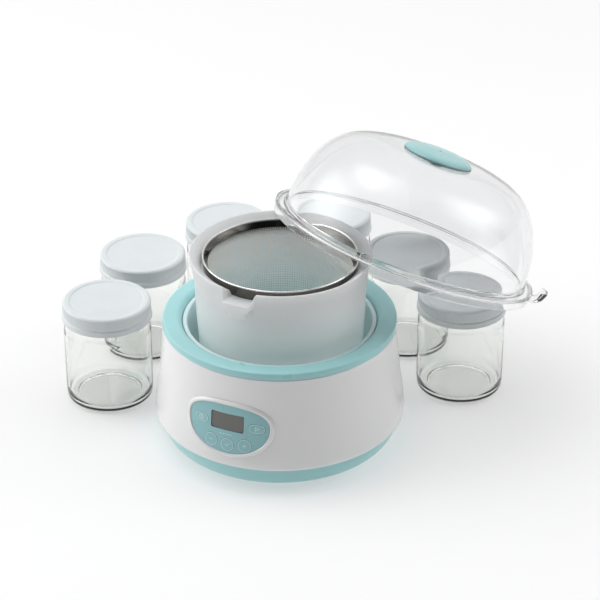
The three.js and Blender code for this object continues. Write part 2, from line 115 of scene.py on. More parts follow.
def rounded(outline, steps=5):
    """A closed outline of (r, z) points, with an arc at each corner that gives a fillet as a third number."""
    points = []
    for i, corner in enumerate(outline):
        here = Vector(corner[:2])
        if len(corner) == 2:
            points.append(here)
            continue
        before = Vector(outline[i - 1][:2]) - here
        after = Vector(outline[(i + 1) % len(outline)][:2]) - here
        reach = min(corner[2], 0.48 * before.length, 0.48 * after.length)
        start = here + before.normalized() * reach
        end = here + after.normalized() * reach
        for k in range(steps + 1):
            t = k / steps
            points.append(start.lerp(here, t).lerp(here.lerp(end, t), t))
    return [(p.x, p.y) for p in points]


def even_angles(count):
    return [FULL * i / count for i in range(count)]


def turned(outline_at, angles):
    """A solid of revolution in millimetres whose outline may change with the angle."""
    shape = bmesh.new()
    on_axis = 1e-6
    first = outline_at(angles[0])
    shared = {i: shape.verts.new((0, 0, z)) for i, (r, z) in enumerate(first) if r < on_axis}
    rings = []
    for angle in angles:
        c, s = math.cos(angle), math.sin(angle)
        rings.append([
            shared.get(i) or shape.verts.new((r * c, r * s, z)) for i, (r, z) in enumerate(outline_at(angle))
        ])
    for near, far in zip(rings, rings[1:] + rings[:1]):
        for i in range(len(near)):
            j = (i + 1) % len(near)
            corners = list(dict.fromkeys([near[i], far[i], far[j], near[j]]))
            if len(corners) > 2:
                shape.faces.new(corners)
    return shape


def lathe(outline, segments=128):
    return turned(lambda angle: outline, even_angles(segments))


def tube(shape, path, radius, sides, closed=False):
    """Adds a thin wire along a path, in millimetres."""
    rings = []
    count = len(path)
    for i, point in enumerate(path):
        ahead = path[(i + 1) % count] if closed or i + 1 < count else point
        behind = path[i - 1] if closed or i else point
        along = (ahead - behind).normalized()
        side = along.cross(Vector((0, 0, 1)))
        side = side.normalized() if side.length > 0.05 else along.cross(Vector((1, 0, 0))).normalized()
        up = side.cross(along)
        ring = []
        for k in range(sides):
            turn = FULL * k / sides
            ring.append(shape.verts.new(point + (side * math.cos(turn) + up * math.sin(turn)) * radius))
        rings.append(ring)
    pairs = list(zip(rings, rings[1:]))
    if closed:
        pairs.append((rings[-1], rings[0]))
    for near, far in pairs:
        for k in range(sides):
            n = (k + 1) % sides
            shape.faces.new((near[k], near[n], far[n], far[k]))
    if not closed:
        shape.faces.new(list(reversed(rings[0])))
        shape.faces.new(rings[-1])


SHARP_DEGREES = 32


def object_of(name, shape, place, sharp_degrees=SHARP_DEGREES):
    """The finished mesh object, scaled from millimetres and put in its place."""
    bmesh.ops.recalc_face_normals(shape, faces=shape.faces)
    mesh = bpy.data.meshes.new(name)
    shape.to_mesh(mesh)
    shape.free()
    mesh.transform(place @ Matrix.Scale(MM, 4))
    mesh.shade_smooth()
    mesh.set_sharp_from_angle(angle=math.radians(sharp_degrees))
    made = bpy.data.objects.new(name, mesh)
    bpy.context.scene.collection.objects.link(made)
    return made


def dress(made, look, body, slot_name, *nodes):
    made.data.materials.clear()
    made.data.materials.append(look)
    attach(made, body)
    if nodes:
        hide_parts(*nodes)
    return made


def boolean(target, cutter, operation):
    """Cuts or joins two objects for good, and removes the second."""
    modifier = target.modifiers.new("cut", "BOOLEAN")
    modifier.object = cutter
    modifier.operation = operation
    modifier.solver = "EXACT"
    graph = bpy.context.evaluated_depsgraph_get()
    result = bpy.data.meshes.new_from_object(target.evaluated_get(graph))
    target.modifiers.clear()
    target.data = result
    bpy.data.objects.remove(cutter)
    result.shade_smooth()
    result.set_sharp_from_angle(angle=math.radians(SHARP_DEGREES))
    return target


# ---------------------------------------------------------------- materials


class Look:
    """A material with one Principled shader, and short calls to add nodes to it."""

    def __init__(self, name):
        self.material = bpy.data.materials.new(name)
        self.material.use_nodes = True
        self.tree = self.material.node_tree
        self.shader = self.tree.nodes["Principled BSDF"]
        self.where = self.add("ShaderNodeTexCoord").outputs["Object"]

    def add(self, kind, **settings):
        node = self.tree.nodes.new(kind)
        for key, value in settings.items():
            if hasattr(node, key):
                setattr(node, key, value)
            else:
                node.inputs[key.replace("_", " ")].default_value = value
        return node

    def link(self, source, target):
        self.tree.links.new(source, target)

    def set(self, **values):
        for key, value in values.items():
            self.shader.inputs[key.replace("_", " ")].default_value = value

    def noise(self, scale, detail=2.0, stretch=None):
        node = self.add("ShaderNodeTexNoise", Scale=scale, Detail=detail)
        source = self.where
        if stretch:
            mapping = self.add("ShaderNodeMapping")
            mapping.inputs["Scale"].default_value = stretch
            self.link(source, mapping.inputs["Vector"])
            source = mapping.outputs["Vector"]
        self.link(source, node.inputs["Vector"])
        return node.outputs["Fac"]

    def rise(self, low_mm, high_mm, uneven=0.25):
        """A 0 to 1 pattern that climbs with height, with a cloudy edge."""
        parts = self.add("ShaderNodeSeparateXYZ")
        self.link(self.where, parts.inputs["Vector"])
        climb = self.add("ShaderNodeMapRange", From_Min=low_mm * MM, From_Max=high_mm * MM)
        self.link(parts.outputs["Z"], climb.inputs["Value"])
        mix = self.add("ShaderNodeMath", operation="MULTIPLY_ADD")
        mix.inputs[1].default_value = uneven
        self.link(self.noise(30, 2), mix.inputs[0])
        self.link(climb.outputs["Result"], mix.inputs[2])
        return mix.outputs[0]

    def spread(self, value, low, high, target):
        """Maps a 0 to 1 pattern to a range, on one of the shader's sockets."""
        node = self.add("ShaderNodeMapRange", From_Min=0.3, From_Max=0.7, To_Min=low, To_Max=high)
        self.link(value, node.inputs["Value"])
        self.link(node.outputs["Result"], self.shader.inputs[target])

    def colours(self, value, first, second, low=0.3, high=0.7):
        ramp = self.add("ShaderNodeValToRGB")
        ramp.color_ramp.elements[0].position = low
        ramp.color_ramp.elements[0].color = (*first, 1)
        ramp.color_ramp.elements[1].position = high
        ramp.color_ramp.elements[1].color = (*second, 1)
        self.link(value, ramp.inputs["Fac"])
        self.link(ramp.outputs["Color"], self.shader.inputs["Base Color"])

    def bump(self, value, strength, distance_mm):
        node = self.add("ShaderNodeBump", Strength=strength, Distance=distance_mm * MM)
        self.link(value, node.inputs["Height"])
        self.link(node.outputs["Normal"], self.shader.inputs["Normal"])


def toned(colour, factor):
    return tuple(min(1.0, c * factor) for c in colour)


def moulded(name, colour, rough, texture=0.05, coat=0.0, varied=0.04):
    """Injection-moulded plastic: faint flow marks in its colour and gloss, and a fine orange peel."""
    look = Look(name)
    look.colours(look.noise(18, 3), toned(colour, 1 - varied), toned(colour, 1 + varied))
    look.spread(look.noise(60, 4), rough * 0.85, rough * 1.15, "Roughness")
    look.bump(look.noise(900, 2), texture, 0.05)
    look.set(IOR=1.5, Coat_Weight=coat, Coat_Roughness=0.08)
    return look


AQUA = (0.35, 0.65, 0.665)
AQUA_PANEL = (0.28, 0.53, 0.56)


def aqua_look():
    return moulded("aqua_plastic", AQUA, 0.32, texture=0.015, coat=0.15).material


def white_look():
    look = moulded("white_gloss_plastic", (0.82, 0.82, 0.82), 0.22, texture=0.02, coat=0.5, varied=0.008)
    return look.material


def panel_look():
    return moulded("panel_film", AQUA_PANEL, 0.3, texture=0.12).material


def print_look():
    return moulded("panel_print", (0.62, 0.82, 0.84), 0.4).material


def frosted_look():
    """Natural polypropylene: milky, lets light through and blurs what is behind. Its colour is painted shade,
    darker and teal towards the bottom, and its lower part has a painted glow.
    """
    look = Look("frosted_tub")
    # painted shade: the colour turns a darker teal grey towards the bottom, where the well shades the tub
    look.colours(look.rise(40, 150), (0.80, 0.90, 0.915), (0.95, 0.965, 0.97), 0.3, 1.0)
    look.spread(look.noise(40, 4), 0.46, 0.54, "Roughness")
    look.bump(look.noise(700, 3), 0.06, 0.05)
    look.set(IOR=1.45, Transmission_Weight=0.35, Subsurface_Weight=0.6, Subsurface_Scale=0.012,
             Subsurface_Radius=(1.0, 1.0, 1.0), Emission_Strength=0.075)
    # painted glow: a faint teal-white emission over the lower part of the tub, fading out towards the rim,
    # though the tub is no lamp
    glow = look.add("ShaderNodeValToRGB")
    glow.color_ramp.elements[0].color = (0.85, 0.98, 0.94, 1)
    glow.color_ramp.elements[0].position = 0.35
    glow.color_ramp.elements[1].color = (0, 0, 0, 1)
    glow.color_ramp.elements[1].position = 0.95
    look.link(look.rise(60, 150), glow.inputs["Fac"])
    look.link(glow.outputs["Color"], look.shader.inputs["Emission Color"])
    return look.material


def well_look():
    look = Look("frosted_well")
    look.colours(look.noise(14, 3), (0.64, 0.78, 0.80), (0.68, 0.81, 0.83))
    look.spread(look.noise(50, 4), 0.34, 0.44, "Roughness")
    look.bump(look.noise(800, 2), 0.05, 0.05)
    look.set(IOR=1.5, Coat_Weight=0.2, Coat_Roughness=0.15)
    return look.material


def clear_look(name, tint, rough, ior, ripple):
    """Clear glass or plastic with a slight waviness in its walls."""
    look = Look(name)
    look.colours(look.noise(7, 2), toned(tint, 0.992), toned(tint, 1.005))
    look.spread(look.noise(90, 3), rough * 0.7, rough * 1.4, "Roughness")
    look.bump(look.noise(26, 2), ripple, 0.12)
    look.set(IOR=ior, Transmission_Weight=1.0)
    return look.material


def enamel_look():
    """Pale enamel on tinplate, with fine speckle."""
    look = Look("cap_enamel")
    look.colours(look.noise(30, 4), (0.655, 0.70, 0.71), (0.695, 0.73, 0.74))
    look.spread(look.noise(220, 3), 0.3, 0.42, "Roughness")
    look.bump(look.noise(1500, 2), 0.1, 0.04)
    look.set(IOR=1.5, Coat_Weight=0.25, Coat_Roughness=0.2)
    return look.material


def steel_look(name, colour, rough, stretch):
    """Stainless steel with a brushed grain along one direction."""
    look = Look(name)
    grain = look.noise(260, 5, stretch)
    look.colours(grain, toned(colour, 0.85), toned(colour, 1.1))
    look.spread(grain, rough * 0.8, rough * 1.3, "Roughness")
    look.bump(grain, 0.04, 0.03)
    look.set(Metallic=1.0)
    return look.material


def wire_look():
    """Fine steel wire, coloured by height as painted light: lit beige towards the rim and a teal shade
    towards the bottom of the bowl, with a faint painted glow in the same colours.
    """
    look = Look("wire_steel")
    height = look.rise(78, 146, 0.4)
    # painted light and shade: teal shade low in the bowl, lit beige near the rim
    look.colours(height, (0.49, 0.60, 0.61), (0.93, 0.90, 0.85), 0.25, 0.95)
    # painted glow, dark teal low and warm white high, which brightens the wires though they are no lamp
    glow = look.add("ShaderNodeValToRGB")
    glow.color_ramp.elements[0].color = (0.30, 0.46, 0.47, 1)
    glow.color_ramp.elements[0].position = 0.3
    glow.color_ramp.elements[1].color = (1, 0.97, 0.92, 1)
    glow.color_ramp.elements[1].position = 1.0
    look.link(height, glow.inputs["Fac"])
    look.link(glow.outputs["Color"], look.shader.inputs["Emission Color"])
    look.spread(look.noise(300, 3), 0.38, 0.5, "Roughness")
    look.bump(look.noise(900, 2), 0.05, 0.02)
    look.set(Metallic=0.6, Emission_Strength=0.075)
    return look.material


def window_look():
    look = Look("display_window")
    look.colours(look.noise(25, 2), (0.10, 0.10, 0.094), (0.125, 0.124, 0.116))
    look.spread(look.noise(120, 2), 0.08, 0.14, "Roughness")
    look.bump(look.noise(400, 2), 0.02, 0.02)
    look.set(IOR=1.5, Coat_Weight=0.6, Coat_Roughness=0.04)
    return look.material


def rubber_look():
    return moulded("foot_rubber", (0.045, 0.047, 0.05), 0.7, texture=0.25, varied=0.15).material


def board_look():
    """Solder mask over copper tracks."""
    look = Look("circuit_board")
    tracks = look.add("ShaderNodeTexBrick", Scale=160.0, Mortar_Size=0.06)
    look.link(look.where, tracks.inputs["Vector"])
    look.colours(tracks.outputs["Fac"], (0.02, 0.13, 0.06), (0.05, 0.24, 0.11), 0.2, 0.8)
    look.bump(tracks.outputs["Fac"], 0.2, 0.05)
    look.set(Roughness=0.4)
    return look.material


# ---------------------------------------------------------------- base


WALL = [(22.4, 95.2), (26, 95.5), (40, 93.7), (60, 91.1), (80, 89.2), (95.9, 88)]


def wall_radius(z):
    """The white wall's outer radius at a height, smoothed through its points."""
    z = min(max(z, WALL[0][0]), WALL[-1][0])
    for (z0, r0), (z1, r1) in zip(WALL, WALL[1:]):
        if z <= z1:
            break
    i = WALL.index((z0, r0))
    before = WALL[max(i - 1, 0)]
    after = WALL[min(i + 2, len(WALL) - 1)]
    slope0 = (r1 - before[1]) / (z1 - before[0])
    slope1 = (after[1] - r0) / (after[0] - z0)
    t, span = (z - z0) / (z1 - z0), z1 - z0
    return (
        (2 * t**3 - 3 * t**2 + 1) * r0
        + (t**3 - 2 * t**2 + t) * span * slope0
        + (3 * t**2 - 2 * t**3) * r1
        + (t**3 - t**2) * span * slope1
    )


PANEL_HALF = 32
PANEL_MID_Z = 55
PANEL_UP, PANEL_UP_POWER = 15.5, 2.4
PANEL_DOWN, PANEL_DOWN_POWER = 22.5, 2.15
BEZEL = 3.2


def panel_point(angle, grow=0.0):
    """A point on the control panel's egg-shaped outline, across and up."""
    c, s = math.cos(angle), math.sin(angle)
    power = PANEL_UP_POWER if s > 0 else PANEL_DOWN_POWER
    tall = (PANEL_UP if s > 0 else PANEL_DOWN) + grow
    x = (PANEL_HALF + grow) * math.copysign(abs(c) ** (2 / power), c)
    z = PANEL_MID_Z + tall * math.copysign(abs(s) ** (2 / power), s)
    return x, z


def on_wall(x, z, out):
    """The point over (x, z) of the panel, that far out from the wall."""
    r = wall_radius(z) + out
    return Vector((x, -math.sqrt(r * r - x * x), z))


def prism(points, near=-112, far=-70):
    """A closed outline in x and z, extruded along y, as a cutter."""
    shape = bmesh.new()
    front = [shape.verts.new((x, near, z)) for x, z in points]
    back = [shape.verts.new((x, far, z)) for x, z in points]
    shape.faces.new(front)
    shape.faces.new(list(reversed(back)))
    for i in range(len(points)):
        j = (i + 1) % len(points)
        shape.faces.new((front[i], back[i], back[j], front[j]))
    return object_of("cutter", shape, BASE_PLACE)


def panel_outline(grow, count=120):
    return [panel_point(FULL * i / count, grow) for i in range(count)]


def make_housing(look):
    thick, foot, head, steps = 2.6, 21.6, 94.3, 36
    heights = [foot + (head - foot) * i / steps for i in range(steps + 1)]
    outer = [(wall_radius(z), z) for z in heights]
    inner = [(wall_radius(z) - thick, z) for z in reversed(heights)]
    outer[0] = (outer[0][0] - 0.5, 21.4)
    outer.insert(1, (wall_radius(22) + 0.02, 22.1))
    outer[-1] = (outer[-1][0] - 0.35, 94.5)
    outer.insert(-1, (wall_radius(94), 94.1))
    wall = object_of("housing_wall", lathe(outer + inner, 256), BASE_PLACE)
    boolean(wall, prism(panel_outline(BEZEL - 1.0)), "DIFFERENCE")
    through = Matrix.Translation(middle("cord_gland")) @ turned_by(FRONT) @ turned_by(math.pi / 2, "X")
    drill = lathe([(0, -12), (5.3, -12), (5.3, 12), (0, 12)], 48)
    boolean(wall, object_of("gland_hole", drill, through), "DIFFERENCE")
    dress(wall, look, "base", "white_plastic", "base_housing")


def make_rim(look):
    steps = 12
    quarter = [math.pi / 2 * i / steps for i in range(steps + 1)]
    throat = [(78.5 - 5.2 * math.cos(turn), 95.4 + 4.7 * math.sin(turn)) for turn in quarter]
    outline = rounded([
        *throat,
        (86.6, 100.2, 1.2),
        (88.0, 99.7, 1.0),
        (88.3, 94.8, 0.3),
        (85.1, 94.8),
        (84.9, 88),
        (82.6, 88),
        (82.6, 92.4),
        (71.6, 92.4),
        (71.6, 94.7),
        (73.3, 94.7),
    ], 6)
    dress(object_of("rim_ring", lathe(outline, 256), BASE_PLACE), look, "base", "aqua_plastic", "top_rim")


def make_tray(look):
    outline = rounded([
        (0, 2.5),
        (82.4, 2.5, 3),
        (87.6, 6.6, 4),
        (91.4, 14.5, 5),
        (92.7, 20.5, 1.5),
        (94.1, 20.7, 0.3),
        (94.1, 21.0, 0.15),
        (92.3, 21.1),
        (92.3, 27),
        (90.1, 27),
        (90.1, 20.5),
        (85, 6.4, 3),
        (82, 4.7),
        (0, 4.7),
    ])
    dress(object_of("tray_shell", lathe(outline, 256), BASE_PLACE), look, "base", "aqua_plastic", "base_tray")


def make_well(look):
    outline = rounded([
        (0, 33.4),
        (64, 33.4, 4),
        (69, 38, 2),
        (71.1, 95, 0.5),
        (73, 95, 0.3),
        (73, 97, 0.5),
        (69.6, 97.1, 1.4),
        (67.4, 38.5, 3),
        (64, 35, 2),
        (0, 35),
    ])
    liner = object_of("well_liner", lathe(outline, 192), BASE_PLACE)
    dress(liner, look, "base", "well_plastic", "heating_well")


def make_feet(look):
    for i in range(1, 5):
        node = f"foot_{i}"
        place = Matrix.Translation(middle(node).to_2d().to_3d())
        outline = rounded([
            (0, 0.4), (4.6, 0.4, 0.3), (5, 0, 0.2), (7.3, 0, 0.5), (8, 0.7, 0.4), (8, 2.2, 0.2),
            (2.5, 2.2), (2.5, 6.6, 0.5), (0, 6.6),
        ])
        dress(object_of(f"foot_pad_{i}", lathe(outline, 48), place), look, "base", "rubber", node)


def make_screws(look):
    for i in range(1, 5):
        node = f"housing_screw_{i}"
        place = Matrix.Translation(middle(node).to_2d().to_3d())
        outline = rounded([
            (0, 0.95), (2.2, 0.9, 0.4), (3.2, 1.5, 0.3), (3.2, 2.2, 0.1), (1.5, 2.2), (1.5, 14.4, 0.4),
            (0, 15.2),
        ])
        head = object_of(f"tray_screw_{i}", lathe(outline, 40), place)
        for turn in (0, math.pi / 2):
            slot = bmesh.new()
            bmesh.ops.create_cube(slot, size=1, matrix=turned_by(turn) @ Matrix.Diagonal((3.4, 0.7, 1.6, 1)))
            boolean(head, object_of("recess", slot, place @ shifted(0, 0, 0.8)), "DIFFERENCE")
        dress(head, look, "base", "steel", node)


def make_gland(look):
    """The bush round the cord's outlet: ribbed, and hollow."""
    outline = [
        (3.2, 86), (5, 86), (5, 96), (7.6, 96, 0.3), (7.6, 97.4, 0.5), (6.4, 98.6, 0.5), (5.6, 98.2, 0.3),
        (5.2, 98.6, 0.3), (3.2, 98.6, 0.5),
    ]
    place = BASE_PLACE @ shifted(0, 0, middle("cord_gland").z / MM) @ turned_by(-math.pi / 2, "X")
    dress(object_of("cord_bush", lathe(rounded(outline), 48), place), look, "base", "rubber", "cord_gland")


# ---------------------------------------------------------------- control panel


KEYS = {
    "key_timer": (-21.8, 55.3, 6, 3.4),
    "key_start": (22.9, 55.3, 6, 3.4),
    "key_minus": (-12.4, 40.6, 5.2, 5.2),
    "key_set": (0.9, 39.4, 5.2, 5.2),
    "key_plus": (14.4, 40.6, 5.2, 5.2),
}
LCD = (0, 57.2, 12.9, 6.5)
FILM_OUT = 0.9


def stadium(x, z, half_wide, half_tall, grow=0.0, radius=None, steps=12):
    """A rounded rectangle's outline, across and up."""
    wide, tall = half_wide + grow, half_tall + grow
    radius = min(wide, tall) - 0.01 if radius is None else radius + grow
    points = []
    corners = [(1, 1, 0), (-1, 1, 90), (-1, -1, 180), (1, -1, 270)]
    for sx, sz, start in corners:
        for i in range(steps + 1):
            turn = math.radians(start + 90 * i / steps)
            points.append((
                x + sx * (wide - radius) + radius * math.cos(turn),
                z + sz * (tall - radius) + radius * math.sin(turn),
            ))
    return points


def ring_on_wall(outline_at, section):
    """A closed strip round an outline: section gives (grow, out) pairs, as the strip's cross-section."""
    shape = bmesh.new()
    rings = [[shape.verts.new(on_wall(x, z, out)) for x, z in outline_at(grow)] for grow, out in section]
    for near, far in zip(rings, rings[1:] + rings[:1]):
        for i in range(len(near)):
            j = (i + 1) % len(near)
            shape.faces.new((near[i], near[j], far[j], far[i]))
    return shape


def curved_sheet(low, high, inside, outside, pitch=1.0):
    """A solid sheet that follows the wall, over a rectangle of the panel."""
    (x0, z0), (x1, z1) = low, high
    across = max(2, round((x1 - x0) / pitch))
    up = max(2, round((z1 - z0) / pitch))
    shape = bmesh.new()

    def layer(out):
        xs = [x0 + (x1 - x0) * i / across for i in range(across + 1)]
        zs = [z0 + (z1 - z0) * j / up for j in range(up + 1)]
        return [[shape.verts.new(on_wall(x, z, out)) for x in xs] for z in zs]

    front, back = layer(outside), layer(inside)
    for j in range(up):
        for i in range(across):
            shape.faces.new((front[j][i], front[j][i + 1], front[j + 1][i + 1], front[j + 1][i]))
            shape.faces.new((back[j + 1][i], back[j + 1][i + 1], back[j][i + 1], back[j][i]))
    for j in range(up):
        for i in (0, across):
            shape.faces.new((front[j][i], front[j + 1][i], back[j + 1][i], back[j][i]))
    for i in range(across):
        for j in (0, up):
            shape.faces.new((front[j][i], front[j][i + 1], back[j][i + 1], back[j][i]))
    return shape


def make_bezel(look):
    section = rounded([
        (0.15, 0.95, 0.3),
        (0.9, 1.75, 0.7),
        (2.3, 1.75, 0.9),
        (BEZEL, 0.5, 0.6),
        (BEZEL, 0.12),
        (BEZEL - 1.4, 0.12),
        (BEZEL - 1.4, -3.0),
        (0.15, -3.0),
    ], 4)
    shape = ring_on_wall(lambda grow: panel_outline(grow, 160), section)
    dress(object_of("bezel_ring", shape, BASE_PLACE, 50), look, "base", "white_plastic", "control_bezel")


def make_film(look):
    low = (-PANEL_HALF - 1, PANEL_MID_Z - PANEL_DOWN - 1)
    high = (PANEL_HALF + 1, PANEL_MID_Z + PANEL_UP + 1)
    film = object_of("panel_sheet", curved_sheet(low, high, -0.3, FILM_OUT), BASE_PLACE)
    boolean(film, prism(panel_outline(0.0)), "INTERSECT")
    boolean(film, prism(stadium(*LCD, grow=0.25, radius=0.9)), "DIFFERENCE")
    for key in KEYS.values():
        boolean(film, prism(stadium(*key, grow=0.18)), "DIFFERENCE")
    dress(film, look, "base", "aqua_plastic", "control_overlay")


def make_window(glass, dark):
    low = (LCD[0] - LCD[2] - 1, LCD[1] - LCD[3] - 1)
    high = (LCD[0] + LCD[2] + 1, LCD[1] + LCD[3] + 1)
    pane = object_of("display_pane", curved_sheet(low, high, -1.2, FILM_OUT - 0.45), BASE_PLACE)
    boolean(pane, prism(stadium(*LCD, radius=0.8)), "INTERSECT")
    dress(pane, glass, "base", "display", "lcd_window")
    frame_ring = ring_on_wall(
        lambda grow: stadium(*LCD, grow=grow, radius=0.9),
        [(-0.05, FILM_OUT - 0.1), (0.22, FILM_OUT + 0.04), (0.22, FILM_OUT - 0.5), (-0.05, FILM_OUT - 0.5)],
    )
    dress(object_of("display_edge", frame_ring, BASE_PLACE), dark, "base", "black_plastic")


def stroke(points, wide, out):
    """A raised printed line through points of the panel."""
    shape = bmesh.new()
    rows = []
    for i, (x, z) in enumerate(points):
        a = points[max(i - 1, 0)]
        b = points[min(i + 1, len(points) - 1)]
        along = Vector((b[0] - a[0], b[1] - a[1])).normalized() * wide / 2
        sides = [(x - along.y, z + along.x), (x + along.y, z - along.x)]
        rows.append([
            shape.verts.new(on_wall(*sides[0], out)),
            shape.verts.new(on_wall(*sides[1], out)),
            shape.verts.new(on_wall(*sides[1], out - 0.12)),
            shape.verts.new(on_wall(*sides[0], out - 0.12)),
        ])
    for near, far in zip(rows, rows[1:]):
        for i in range(4):
            j = (i + 1) % 4
            shape.faces.new((near[i], near[j], far[j], far[i]))
    shape.faces.new(list(reversed(rows[0])))
    shape.faces.new(rows[-1])
    return shape


def line(start, end, steps=4):
    return [(start[0] + (end[0] - start[0]) * i / steps, start[1] + (end[1] - start[1]) * i / steps)
            for i in range(steps + 1)]


def arc(x, z, radius, start, end, steps=20):
    turns = [math.radians(start + (end - start) * i / steps) for i in range(steps + 1)]
    return [(x + radius * math.cos(turn), z + radius * math.sin(turn)) for turn in turns]


def key_marks(name):
    """Generic symbols, as strokes: a clock, a play mark, minus, a check mark and plus."""
    x, z = KEYS[name][:2]
    if name == "key_timer":
        return [arc(x, z, 1.7, 0, 360), line((x, z), (x, z + 1.1)), line((x, z), (x + 0.8, z))]
    if name == "key_start":
        return [line((x - 1.1, z - 1.5), (x - 1.1, z + 1.5)), line((x - 1.1, z + 1.5), (x + 1.6, z)),
                line((x + 1.6, z), (x - 1.1, z - 1.5))]
    if name == "key_minus":
        return [line((x - 1.6, z), (x + 1.6, z))]
    if name == "key_set":
        return [line((x - 1.6, z + 0.1), (x - 0.4, z - 1.2)), line((x - 0.4, z - 1.2), (x + 1.8, z + 1.4))]
    return [line((x - 1.6, z), (x + 1.6, z)), line((x, z - 1.6), (x, z + 1.6))]


def merged(shapes):
    """One bmesh out of several."""
    whole = bmesh.new()
    for shape in shapes:
        spare = bpy.data.meshes.new("spare")
        shape.to_mesh(spare)
        shape.free()
        whole.from_mesh(spare)
        bpy.data.meshes.remove(spare)
    return whole


def make_keys(film, ink):
    out = FILM_OUT + 0.12
    for name, key in KEYS.items():
        x, z, half_wide, half_tall = key
        body = name.replace("key_", "") + "_button"
        low = (x - half_wide - 1, z - half_tall - 1)
        high = (x + half_wide + 1, z + half_tall + 1)
        cap = object_of(name + "_cap", curved_sheet(low, high, -2.0, out, 0.8), BASE_PLACE)
        boolean(cap, prism(stadium(*key, grow=-0.02)), "INTERSECT")
        dress(cap, film, body, "aqua_plastic", name)
        edge = ring_on_wall(
            lambda grow, key=key: stadium(*key, grow=grow),
            [(-0.56, out + 0.04), (-0.12, out + 0.04), (-0.12, out - 0.1), (-0.56, out - 0.1)],
        )
        marks = [stroke(points, 0.42, out + 0.05) for points in key_marks(name)]
        printed = object_of(name + "_print", merged([edge, *marks]), BASE_PLACE)
        dress(printed, ink, body, "aqua_plastic")
    tick_z, tick_long = 47.4, 1.6
    ticks = [
        stroke(line((x, tick_z), (x + tick_long, tick_z)), 0.6, FILM_OUT + 0.05)
        for x in (-5.6, -2.9, -0.2, 2.5)
    ]
    dress(object_of("panel_ticks", merged(ticks), BASE_PLACE), ink, "base", "aqua_plastic")


# ---------------------------------------------------------------- tub


LUG_HALF = 12.6
LUG_RIM_R = 68


def smooth_step(value, start, end):
    t = min(max((value - start) / (end - start), 0), 1)
    return t * t * (3 - 2 * t)


def make_tub(look):
    """The tub, whose rim drops to a pouring lug over a U-shaped tongue at its front.

    Known fault: lug has one corner fewer than plain, so from z 140 on the points pair one corner out, and
    the last points of plain fall away. The floor inside is then a cone down to the underside's centre.
    """
    low = [(0, 36), (54, 36, 3.5), (58.8, 40.2, 3.5), (60.3, 60), (63.1, 100)]
    inside = [
        (59.6, 141.2, 0.4), (56.8, 141.2, 0.5), (56.6, 139.4, 0.5), (62.7, 134.5, 2), (61.3, 100), (58.4, 60),
        (57, 41, 3), (54, 37.9, 1), (0, 37.9),
    ]
    plain = rounded([
        *low, (64.2, 128, 0.4), (64.35, 129.2, 0.5), (64.6, 131.5), (64.9, 134), (65.2, 137), (65.7, 140, 3),
        (68.2, 151.0, 0.8), (68.4, 152.4, 0.6), (67.5, 153.2, 0.6), (61.5, 148.0, 1.4), (59.7, 147.1, 0.5),
        *inside,
    ])
    lug = rounded([
        *low, (64.2, 129.6, 0.4), (70.2, 130.3, 1.4), (70.4, 132), (70.7, 134.5), (71.0, 138),
        (71.4, 141.8, 0.8), (71.6, 143.0, 0.6), (70.6, 143.7, 0.6), (64.0, 143.0, 1.4), (59.9, 142.7, 0.5),
        *inside,
    ])
    front = -math.pi / 2
    rim_from_z = 146
    tongue_low_z, tongue_tall = 130, 12

    def outline_at(angle):
        off = ((angle - front + math.pi) % FULL - math.pi) * LUG_RIM_R
        left = smooth_step(off, -LUG_HALF - 0.8, -LUG_HALF + 2.2)
        drop = left * (1 - smooth_step(off, LUG_HALF - 4.6, LUG_HALF + 2.6))

        def moved(point, target):
            if point[1] > rim_from_z:
                share = drop
            else:
                half = LUG_HALF * min(max((target[1] - tongue_low_z) / tongue_tall, 0.02), 1) ** 0.4
                share = 1 - smooth_step(abs(off), half - 1.4, half + 0.4)
            return point[0] + (target[0] - point[0]) * share, point[1] + (target[1] - point[1]) * share

        return [moved(point, target) for point, target in zip(plain, lug)]

    lug_degrees, fine_steps, coarse_steps = 28, 110, 150
    fine = [front + math.radians(lug_degrees * (i / fine_steps - 0.5)) for i in range(fine_steps + 1)]
    rest = 360 - lug_degrees
    coarse = [
        front + math.radians(lug_degrees / 2 + rest * i / coarse_steps) for i in range(1, coarse_steps)
    ]
    dress(object_of("tub_shell", turned(outline_at, fine + coarse), TUB_PLACE, 60), look, "tub",
          "frosted_plastic", "yogurt_tub")


# ---------------------------------------------------------------- strainer


BOWL = [(54.9, -5), (54.6, -20), (53.4, -40), (51.2, -54), (48.6, -63), (44, -69.5), (37, -74.2), (28, -77)]


def bowl_at(depth_share):
    """A point of the mesh bowl, by its share of the way from the hoop to the floor's edge."""
    place = depth_share * (len(BOWL) - 1)
    i = min(int(place), len(BOWL) - 2)
    t = place - i
    (r0, z0), (r1, z1) = BOWL[i], BOWL[i + 1]
    before = BOWL[max(i - 1, 0)]
    after = BOWL[min(i + 2, len(BOWL) - 1)]

    def smooth(p0, p1, p2, p3):
        return 0.5 * (2 * p1 + (p2 - p0) * t + (2 * p0 - 5 * p1 + 4 * p2 - p3) * t**2
                      + (3 * p1 - p0 - 3 * p2 + p3) * t**3)

    return smooth(before[0], r0, r1, after[0]), smooth(before[1], z0, z1, after[1])


def make_hoop(look, bead_highlight):
    outline = rounded([
        (57.6, -9, 0.2), (58.3, -9, 0.2), (58.4, -1.2, 0.2), (58.5, -0.7, 0.1), (57.9, -0.7, 0.1),
        (57.4, -0.9, 0.3), (55.1, -4.2, 0.3), (54.5, -5.2, 0.3), (54.7, -5.8, 0.2), (55.5, -5.5, 0.3),
        (57.6, -2.2, 0.2),
    ])
    band = object_of("hoop_band", lathe(outline, 256), STRAINER_PLACE)
    dress(band, look, "strainer", "steel", "strainer_hoop")
    bead_r = 0.62
    bead = [(58.25 + bead_r * math.cos(turn), -0.3 + bead_r * math.sin(turn)) for turn in even_angles(14)]
    # the bead carries a bright copy of the hoop's steel: a painted highlight along the hoop's top edge
    dress(object_of("hoop_bead", lathe(bead, 256), STRAINER_PLACE, 60), bead_highlight, "strainer", "steel")


